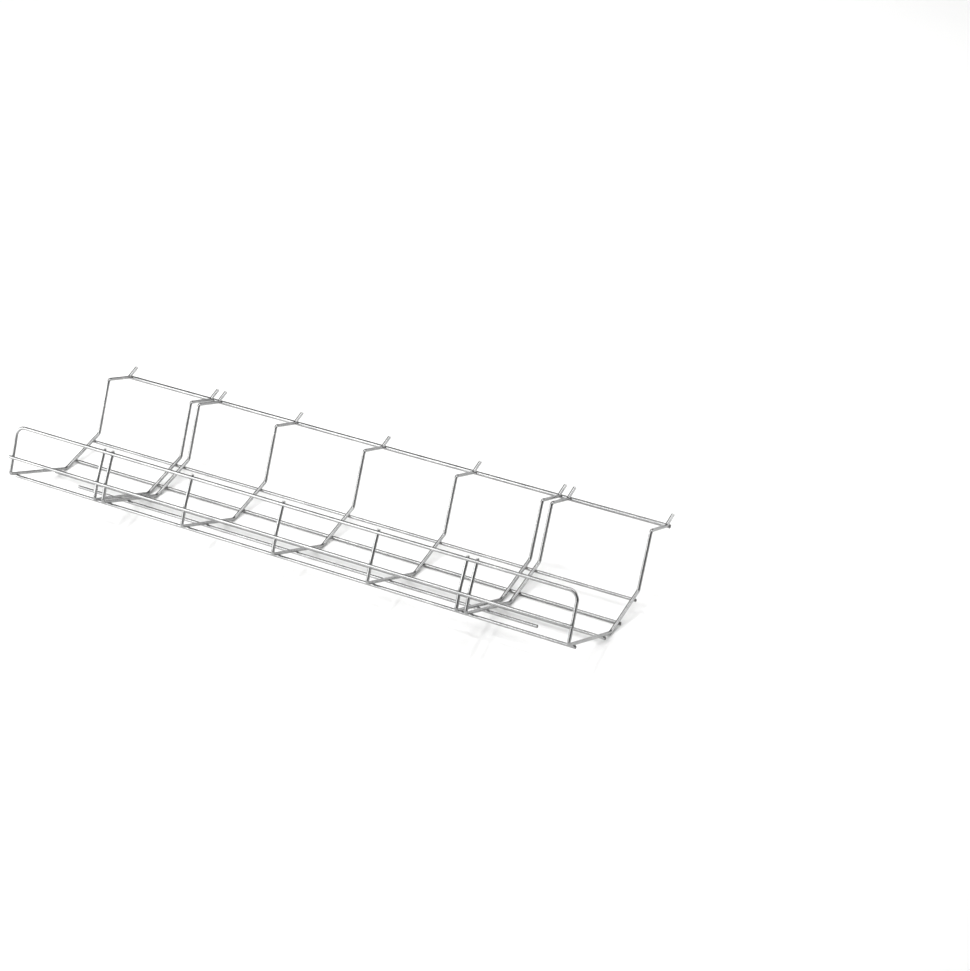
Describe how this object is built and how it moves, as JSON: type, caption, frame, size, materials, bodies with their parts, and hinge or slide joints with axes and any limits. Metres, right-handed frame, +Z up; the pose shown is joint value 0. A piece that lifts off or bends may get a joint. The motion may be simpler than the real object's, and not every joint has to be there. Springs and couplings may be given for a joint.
{
  "type": "wire mesh cable basket",
  "caption": "Long open trough of bent and welded steel wire that carries cables and power strips, with a stepped back edge of upturned hooks and a thicker rail to hang it by.",
  "frame": {"origin": "middle of the outline at floor level", "axes": "+X along the basket, +Y towards the hooked back edge, +Z up"},
  "size_m": [0.906, 0.307, 0.1228],
  "materials": {
    "zinc_wire": "bright zinc plate, smooth drawn wire"
  },
  "bodies": {
    "root": {"end_loop_wire": "zinc_wire", "cross_wire_1": "zinc_wire", "cross_wire_2": "zinc_wire", "cross_wire_3": "zinc_wire", "cross_wire_4": "zinc_wire", "cross_wire_5": "zinc_wire", "cross_wire_6": "zinc_wire", "cross_wire_7": "zinc_wire", "front_rail": "zinc_wire", "floor_rail_front": "zinc_wire", "floor_rail_middle": "zinc_wire", "floor_rail_rear": "zinc_wire", "slope_rail_lower": "zinc_wire", "slope_rail_upper": "zinc_wire", "hanging_rail": "zinc_wire"}
  },
  "joints": []
}
